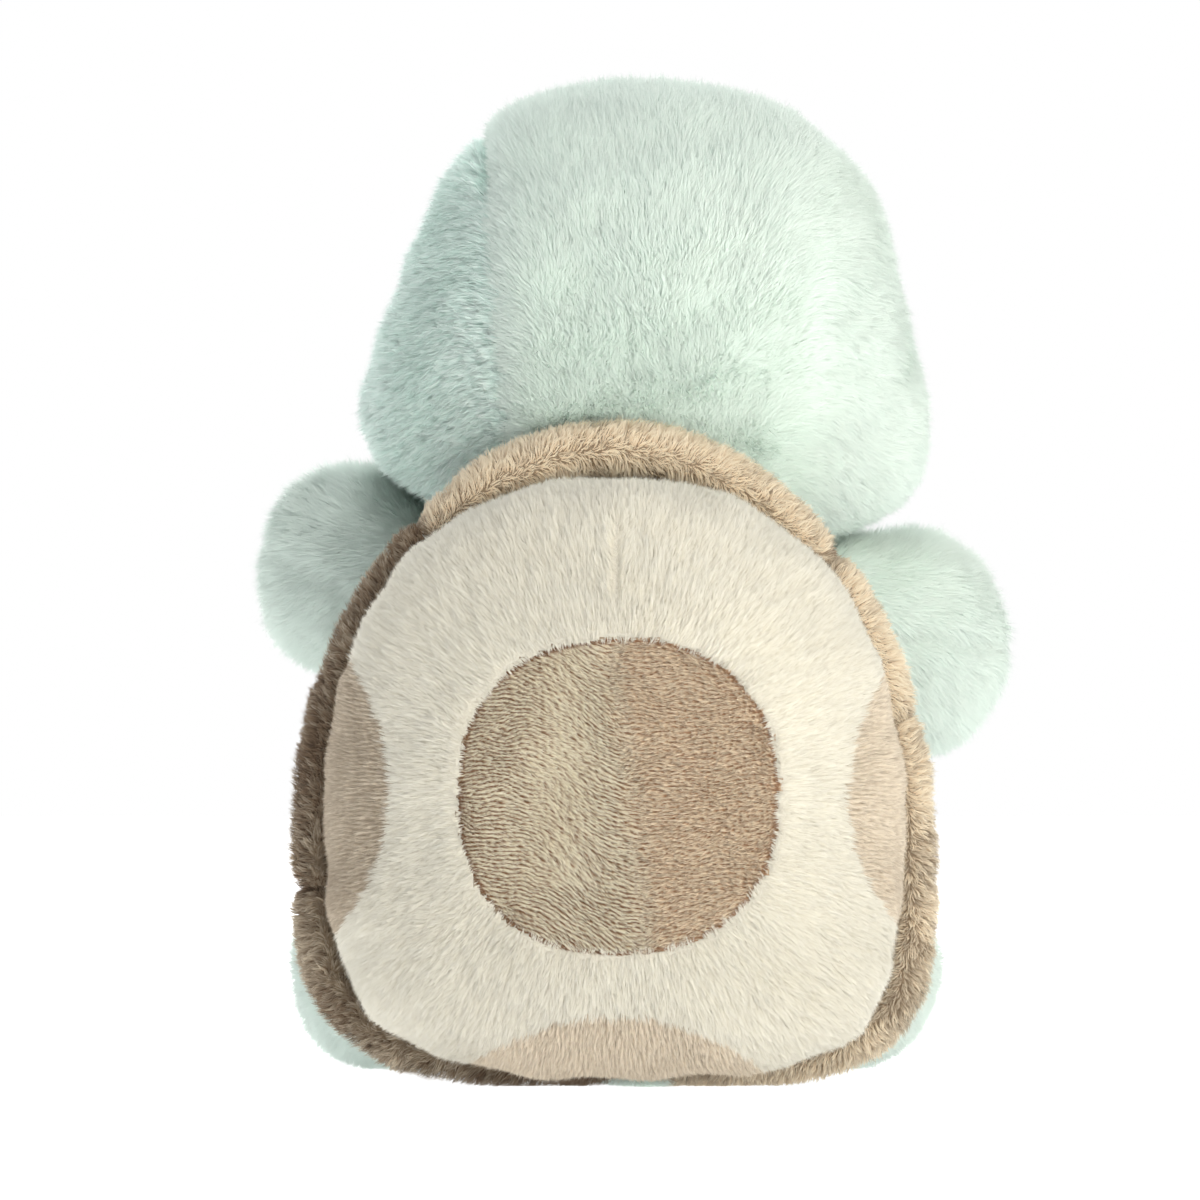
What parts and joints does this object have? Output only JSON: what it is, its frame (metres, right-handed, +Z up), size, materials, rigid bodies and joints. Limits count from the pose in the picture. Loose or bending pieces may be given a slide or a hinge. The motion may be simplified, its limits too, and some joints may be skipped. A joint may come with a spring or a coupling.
{
  "type": "plush turtle",
  "caption": "Seated plush turtle with a big round head, short stuffed arms and legs, and a padded shell with a rolled rim and tan patches.",
  "frame": {"origin": "centre of the flat seat, where the turtle rests on a surface", "axes": "+Z up; the face looks towards -Y and the shell stands out towards +Y; +X is the turtle's own left"},
  "size_m": [0.1922, 0.1889, 0.254],
  "materials": {
    "mint_fur": "long soft mint fur pile",
    "cream_pile": "short brushed cream pile",
    "tan_pile": "short brushed tan pile with a fine rib",
    "stuffing": "loose white polyester fibre",
    "pellet_cloth": "plain woven bag",
    "eye_plastic": "polished black",
    "washer_plastic": "plain white",
    "stitching": "dark brown embroidery thread"
  },
  "bodies": {
    "torso": {"belly_panel": "mint_fur", "body_back_panel": "mint_fur", "seat_panel": "mint_fur", "body_filling": "stuffing", "pellet_bag": "pellet_cloth", "tail": "mint_fur", "shell_base": "tan_pile", "shell_cover": "cream_pile", "centre_patch": "tan_pile", "left_patch": "tan_pile", "right_patch": "tan_pile", "bottom_patch": "tan_pile", "shell_filling": "stuffing", "collar_rim": "tan_pile", "left_rim": "tan_pile", "lower_left_rim": "tan_pile", "lower_right_rim": "tan_pile", "right_rim": "tan_pile", "rim_filling": "stuffing"},
    "head": {"head_centre_panel": "mint_fur", "head_left_panel": "mint_fur", "head_right_panel": "mint_fur", "head_filling": "stuffing", "muzzle_panel": "mint_fur", "muzzle_filling": "stuffing", "left_eye": "eye_plastic", "right_eye": "eye_plastic", "left_eye_washer": "washer_plastic", "right_eye_washer": "washer_plastic", "mouth_stitch": "stitching", "left_nostril_stitch": "stitching", "right_nostril_stitch": "stitching"},
    "left_arm": {"left_arm_upper_panel": "mint_fur", "left_arm_under_panel": "mint_fur", "left_arm_filling": "stuffing"},
    "left_leg": {"left_leg_cover": "mint_fur", "left_sole_panel": "mint_fur", "left_leg_filling": "stuffing"},
    "right_arm": {"right_arm_upper_panel": "mint_fur", "right_arm_under_panel": "mint_fur", "right_arm_filling": "stuffing"},
    "right_leg": {"right_leg_cover": "mint_fur", "right_sole_panel": "mint_fur", "right_leg_filling": "stuffing"}
  },
  "joints": [
    {"name": "head_nod", "type": "hinge", "parent": "torso", "child": "head", "pos_m": [0, 0, 0.146], "axis": [1, 0, 0], "range_deg": [-3, 10], "stiffness_Nm_per_rad": 0.8},
    {"name": "left_arm_swing", "type": "hinge", "parent": "torso", "child": "left_arm", "pos_m": [0.039, -0.004, 0.114], "axis": [1, 0, 0], "range_deg": [0, 40], "stiffness_Nm_per_rad": 0.12},
    {"name": "right_arm_swing", "type": "hinge", "parent": "torso", "child": "right_arm", "pos_m": [-0.039, -0.004, 0.114], "axis": [1, 0, 0], "range_deg": [0, 25], "stiffness_Nm_per_rad": 0.12},
    {"name": "left_leg_lift", "type": "hinge", "parent": "torso", "child": "left_leg", "pos_m": [0.036, -0.022, 0.0253], "axis": [-1, 0, 0], "range_deg": [0, 25], "stiffness_Nm_per_rad": 0.12},
    {"name": "right_leg_lift", "type": "hinge", "parent": "torso", "child": "right_leg", "pos_m": [-0.036, -0.022, 0.0253], "axis": [-1, 0, 0], "range_deg": [0, 25], "stiffness_Nm_per_rad": 0.12}
  ]
}
